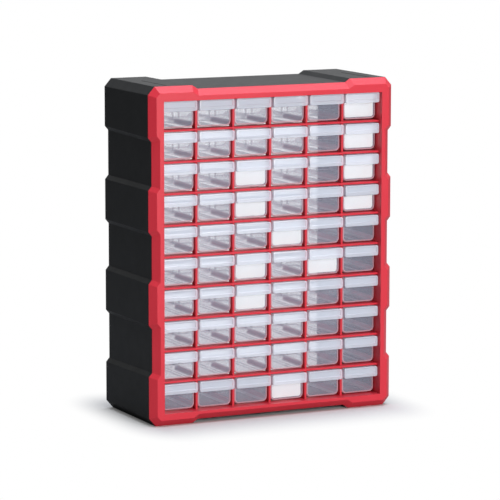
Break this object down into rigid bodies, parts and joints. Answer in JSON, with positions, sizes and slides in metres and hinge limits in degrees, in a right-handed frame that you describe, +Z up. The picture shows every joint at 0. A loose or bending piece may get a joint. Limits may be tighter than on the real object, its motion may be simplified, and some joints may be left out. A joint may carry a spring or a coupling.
{
  "type": "parts bin cabinet",
  "caption": "Upright cabinet for small parts: a box-shaped casing, a bevelled front frame with a grid of bars, and clear pull-out drawers with dividers.",
  "frame": {"origin": "middle of the footprint, on the plane that the cabinet stands on", "axes": "+Z up, the drawers open towards -Y, +X is the cabinet's right side seen from the front"},
  "size_m": [0.38, 0.16, 0.475],
  "materials": {
    "casing_plastic": "fine grain, satin",
    "frame_plastic": "smooth, semi-gloss",
    "drawer_plastic": "clear, smooth",
    "screw_steel": "zinc plated"
  },
  "bodies": {
    "cabinet": {"rear_casing": "casing_plastic", "front_frame": "frame_plastic", "frame_screws": "screw_steel"},
    "bin_r01_c1": {"drawer_r01_c1": "drawer_plastic"},
    "bin_r01_c2": {"drawer_r01_c2": "drawer_plastic"},
    "bin_r01_c3": {"drawer_r01_c3": "drawer_plastic"},
    "bin_r01_c4": {"drawer_r01_c4": "drawer_plastic"},
    "bin_r01_c5": {"drawer_r01_c5": "drawer_plastic"},
    "bin_r01_c6": {"drawer_r01_c6": "drawer_plastic"},
    "bin_r02_c1": {"drawer_r02_c1": "drawer_plastic"},
    "bin_r02_c2": {"drawer_r02_c2": "drawer_plastic"},
    "bin_r02_c3": {"drawer_r02_c3": "drawer_plastic"},
    "bin_r02_c4": {"drawer_r02_c4": "drawer_plastic"},
    "bin_r02_c5": {"drawer_r02_c5": "drawer_plastic"},
    "bin_r02_c6": {"drawer_r02_c6": "drawer_plastic"},
    "bin_r03_c1": {"drawer_r03_c1": "drawer_plastic"},
    "bin_r03_c2": {"drawer_r03_c2": "drawer_plastic"},
    "bin_r03_c3": {"drawer_r03_c3": "drawer_plastic"},
    "bin_r03_c4": {"drawer_r03_c4": "drawer_plastic"},
    "bin_r03_c5": {"drawer_r03_c5": "drawer_plastic"},
    "bin_r03_c6": {"drawer_r03_c6": "drawer_plastic"},
    "bin_r04_c1": {"drawer_r04_c1": "drawer_plastic"},
    "bin_r04_c2": {"drawer_r04_c2": "drawer_plastic"},
    "bin_r04_c3": {"drawer_r04_c3": "drawer_plastic"},
    "bin_r04_c4": {"drawer_r04_c4": "drawer_plastic"},
    "bin_r04_c5": {"drawer_r04_c5": "drawer_plastic"},
    "bin_r04_c6": {"drawer_r04_c6": "drawer_plastic"},
    "bin_r05_c1": {"drawer_r05_c1": "drawer_plastic"},
    "bin_r05_c2": {"drawer_r05_c2": "drawer_plastic"},
    "bin_r05_c3": {"drawer_r05_c3": "drawer_plastic"},
    "bin_r05_c4": {"drawer_r05_c4": "drawer_plastic"},
    "bin_r05_c5": {"drawer_r05_c5": "drawer_plastic"},
    "bin_r05_c6": {"drawer_r05_c6": "drawer_plastic"},
    "bin_r06_c1": {"drawer_r06_c1": "drawer_plastic"},
    "bin_r06_c2": {"drawer_r06_c2": "drawer_plastic"},
    "bin_r06_c3": {"drawer_r06_c3": "drawer_plastic"},
    "bin_r06_c4": {"drawer_r06_c4": "drawer_plastic"},
    "bin_r06_c5": {"drawer_r06_c5": "drawer_plastic"},
    "bin_r06_c6": {"drawer_r06_c6": "drawer_plastic"},
    "bin_r07_c1": {"drawer_r07_c1": "drawer_plastic"},
    "bin_r07_c2": {"drawer_r07_c2": "drawer_plastic"},
    "bin_r07_c3": {"drawer_r07_c3": "drawer_plastic"},
    "bin_r07_c4": {"drawer_r07_c4": "drawer_plastic"},
    "bin_r07_c5": {"drawer_r07_c5": "drawer_plastic"},
    "bin_r07_c6": {"drawer_r07_c6": "drawer_plastic"},
    "bin_r08_c1": {"drawer_r08_c1": "drawer_plastic"},
    "bin_r08_c2": {"drawer_r08_c2": "drawer_plastic"},
    "bin_r08_c3": {"drawer_r08_c3": "drawer_plastic"},
    "bin_r08_c4": {"drawer_r08_c4": "drawer_plastic"},
    "bin_r08_c5": {"drawer_r08_c5": "drawer_plastic"},
    "bin_r08_c6": {"drawer_r08_c6": "drawer_plastic"},
    "bin_r09_c1": {"drawer_r09_c1": "drawer_plastic"},
    "bin_r09_c2": {"drawer_r09_c2": "drawer_plastic"},
    "bin_r09_c3": {"drawer_r09_c3": "drawer_plastic"},
    "bin_r09_c4": {"drawer_r09_c4": "drawer_plastic"},
    "bin_r09_c5": {"drawer_r09_c5": "drawer_plastic"},
    "bin_r09_c6": {"drawer_r09_c6": "drawer_plastic"},
    "bin_r10_c1_c2": {"drawer_r10_c1_c2": "drawer_plastic"},
    "bin_r10_c3_c4": {"drawer_r10_c3_c4": "drawer_plastic"},
    "bin_r10_c5_c6": {"drawer_r10_c5_c6": "drawer_plastic"}
  },
  "joints": [
    {"name": "slide_r01_c1", "type": "slide", "parent": "cabinet", "child": "bin_r01_c1", "axis": [0, -1, 0], "range_m": [0, 0.1245]},
    {"name": "slide_r01_c2", "type": "slide", "parent": "cabinet", "child": "bin_r01_c2", "axis": [0, -1, 0], "range_m": [0, 0.1245]},
    {"name": "slide_r01_c3", "type": "slide", "parent": "cabinet", "child": "bin_r01_c3", "axis": [0, -1, 0], "range_m": [0, 0.1245]},
    {"name": "slide_r01_c4", "type": "slide", "parent": "cabinet", "child": "bin_r01_c4", "axis": [0, -1, 0], "range_m": [0, 0.1245]},
    {"name": "slide_r01_c5", "type": "slide", "parent": "cabinet", "child": "bin_r01_c5", "axis": [0, -1, 0], "range_m": [0, 0.1245]},
    {"name": "slide_r01_c6", "type": "slide", "parent": "cabinet", "child": "bin_r01_c6", "axis": [0, -1, 0], "range_m": [0, 0.1245]},
    {"name": "slide_r02_c1", "type": "slide", "parent": "cabinet", "child": "bin_r02_c1", "axis": [0, -1, 0], "range_m": [0, 0.1245]},
    {"name": "slide_r02_c2", "type": "slide", "parent": "cabinet", "child": "bin_r02_c2", "axis": [0, -1, 0], "range_m": [0, 0.1245]},
    {"name": "slide_r02_c3", "type": "slide", "parent": "cabinet", "child": "bin_r02_c3", "axis": [0, -1, 0], "range_m": [0, 0.1245]},
    {"name": "slide_r02_c4", "type": "slide", "parent": "cabinet", "child": "bin_r02_c4", "axis": [0, -1, 0], "range_m": [0, 0.1245]},
    {"name": "slide_r02_c5", "type": "slide", "parent": "cabinet", "child": "bin_r02_c5", "axis": [0, -1, 0], "range_m": [0, 0.1245]},
    {"name": "slide_r02_c6", "type": "slide", "parent": "cabinet", "child": "bin_r02_c6", "axis": [0, -1, 0], "range_m": [0, 0.1245]},
    {"name": "slide_r03_c1", "type": "slide", "parent": "cabinet", "child": "bin_r03_c1", "axis": [0, -1, 0], "range_m": [0, 0.1245]},
    {"name": "slide_r03_c2", "type": "slide", "parent": "cabinet", "child": "bin_r03_c2", "axis": [0, -1, 0], "range_m": [0, 0.1245]},
    {"name": "slide_r03_c3", "type": "slide", "parent": "cabinet", "child": "bin_r03_c3", "axis": [0, -1, 0], "range_m": [0, 0.1245]},
    {"name": "slide_r03_c4", "type": "slide", "parent": "cabinet", "child": "bin_r03_c4", "axis": [0, -1, 0], "range_m": [0, 0.1245]},
    {"name": "slide_r03_c5", "type": "slide", "parent": "cabinet", "child": "bin_r03_c5", "axis": [0, -1, 0], "range_m": [0, 0.1245]},
    {"name": "slide_r03_c6", "type": "slide", "parent": "cabinet", "child": "bin_r03_c6", "axis": [0, -1, 0], "range_m": [0, 0.1245]},
    {"name": "slide_r04_c1", "type": "slide", "parent": "cabinet", "child": "bin_r04_c1", "axis": [0, -1, 0], "range_m": [0, 0.1245]},
    {"name": "slide_r04_c2", "type": "slide", "parent": "cabinet", "child": "bin_r04_c2", "axis": [0, -1, 0], "range_m": [0, 0.1245]},
    {"name": "slide_r04_c3", "type": "slide", "parent": "cabinet", "child": "bin_r04_c3", "axis": [0, -1, 0], "range_m": [0, 0.1245]},
    {"name": "slide_r04_c4", "type": "slide", "parent": "cabinet", "child": "bin_r04_c4", "axis": [0, -1, 0], "range_m": [0, 0.1245]},
    {"name": "slide_r04_c5", "type": "slide", "parent": "cabinet", "child": "bin_r04_c5", "axis": [0, -1, 0], "range_m": [0, 0.1245]},
    {"name": "slide_r04_c6", "type": "slide", "parent": "cabinet", "child": "bin_r04_c6", "axis": [0, -1, 0], "range_m": [0, 0.1245]},
    {"name": "slide_r05_c1", "type": "slide", "parent": "cabinet", "child": "bin_r05_c1", "axis": [0, -1, 0], "range_m": [0, 0.1245]},
    {"name": "slide_r05_c2", "type": "slide", "parent": "cabinet", "child": "bin_r05_c2", "axis": [0, -1, 0], "range_m": [0, 0.1245]},
    {"name": "slide_r05_c3", "type": "slide", "parent": "cabinet", "child": "bin_r05_c3", "axis": [0, -1, 0], "range_m": [0, 0.1245]},
    {"name": "slide_r05_c4", "type": "slide", "parent": "cabinet", "child": "bin_r05_c4", "axis": [0, -1, 0], "range_m": [0, 0.1245]},
    {"name": "slide_r05_c5", "type": "slide", "parent": "cabinet", "child": "bin_r05_c5", "axis": [0, -1, 0], "range_m": [0, 0.1245]},
    {"name": "slide_r05_c6", "type": "slide", "parent": "cabinet", "child": "bin_r05_c6", "axis": [0, -1, 0], "range_m": [0, 0.1245]},
    {"name": "slide_r06_c1", "type": "slide", "parent": "cabinet", "child": "bin_r06_c1", "axis": [0, -1, 0], "range_m": [0, 0.1245]},
    {"name": "slide_r06_c2", "type": "slide", "parent": "cabinet", "child": "bin_r06_c2", "axis": [0, -1, 0], "range_m": [0, 0.1245]},
    {"name": "slide_r06_c3", "type": "slide", "parent": "cabinet", "child": "bin_r06_c3", "axis": [0, -1, 0], "range_m": [0, 0.1245]},
    {"name": "slide_r06_c4", "type": "slide", "parent": "cabinet", "child": "bin_r06_c4", "axis": [0, -1, 0], "range_m": [0, 0.1245]},
    {"name": "slide_r06_c5", "type": "slide", "parent": "cabinet", "child": "bin_r06_c5", "axis": [0, -1, 0], "range_m": [0, 0.1245]},
    {"name": "slide_r06_c6", "type": "slide", "parent": "cabinet", "child": "bin_r06_c6", "axis": [0, -1, 0], "range_m": [0, 0.1245]},
    {"name": "slide_r07_c1", "type": "slide", "parent": "cabinet", "child": "bin_r07_c1", "axis": [0, -1, 0], "range_m": [0, 0.1245]},
    {"name": "slide_r07_c2", "type": "slide", "parent": "cabinet", "child": "bin_r07_c2", "axis": [0, -1, 0], "range_m": [0, 0.1245]},
    {"name": "slide_r07_c3", "type": "slide", "parent": "cabinet", "child": "bin_r07_c3", "axis": [0, -1, 0], "range_m": [0, 0.1245]},
    {"name": "slide_r07_c4", "type": "slide", "parent": "cabinet", "child": "bin_r07_c4", "axis": [0, -1, 0], "range_m": [0, 0.1245]},
    {"name": "slide_r07_c5", "type": "slide", "parent": "cabinet", "child": "bin_r07_c5", "axis": [0, -1, 0], "range_m": [0, 0.1245]},
    {"name": "slide_r07_c6", "type": "slide", "parent": "cabinet", "child": "bin_r07_c6", "axis": [0, -1, 0], "range_m": [0, 0.1245]},
    {"name": "slide_r08_c1", "type": "slide", "parent": "cabinet", "child": "bin_r08_c1", "axis": [0, -1, 0], "range_m": [0, 0.1245]},
    {"name": "slide_r08_c2", "type": "slide", "parent": "cabinet", "child": "bin_r08_c2", "axis": [0, -1, 0], "range_m": [0, 0.1245]},
    {"name": "slide_r08_c3", "type": "slide", "parent": "cabinet", "child": "bin_r08_c3", "axis": [0, -1, 0], "range_m": [0, 0.1245]},
    {"name": "slide_r08_c4", "type": "slide", "parent": "cabinet", "child": "bin_r08_c4", "axis": [0, -1, 0], "range_m": [0, 0.1245]},
    {"name": "slide_r08_c5", "type": "slide", "parent": "cabinet", "child": "bin_r08_c5", "axis": [0, -1, 0], "range_m": [0, 0.1245]},
    {"name": "slide_r08_c6", "type": "slide", "parent": "cabinet", "child": "bin_r08_c6", "axis": [0, -1, 0], "range_m": [0, 0.1245]},
    {"name": "slide_r09_c1", "type": "slide", "parent": "cabinet", "child": "bin_r09_c1", "axis": [0, -1, 0], "range_m": [0, 0.1245]},
    {"name": "slide_r09_c2", "type": "slide", "parent": "cabinet", "child": "bin_r09_c2", "axis": [0, -1, 0], "range_m": [0, 0.1245]},
    {"name": "slide_r09_c3", "type": "slide", "parent": "cabinet", "child": "bin_r09_c3", "axis": [0, -1, 0], "range_m": [0, 0.1245]},
    {"name": "slide_r09_c4", "type": "slide", "parent": "cabinet", "child": "bin_r09_c4", "axis": [0, -1, 0], "range_m": [0, 0.1245]},
    {"name": "slide_r09_c5", "type": "slide", "parent": "cabinet", "child": "bin_r09_c5", "axis": [0, -1, 0], "range_m": [0, 0.1245]},
    {"name": "slide_r09_c6", "type": "slide", "parent": "cabinet", "child": "bin_r09_c6", "axis": [0, -1, 0], "range_m": [0, 0.1245]},
    {"name": "slide_r10_c1_c2", "type": "slide", "parent": "cabinet", "child": "bin_r10_c1_c2", "axis": [0, -1, 0], "range_m": [0, 0.1245]},
    {"name": "slide_r10_c3_c4", "type": "slide", "parent": "cabinet", "child": "bin_r10_c3_c4", "axis": [0, -1, 0], "range_m": [0, 0.1245]},
    {"name": "slide_r10_c5_c6", "type": "slide", "parent": "cabinet", "child": "bin_r10_c5_c6", "axis": [0, -1, 0], "range_m": [0, 0.1245]}
  ]
}
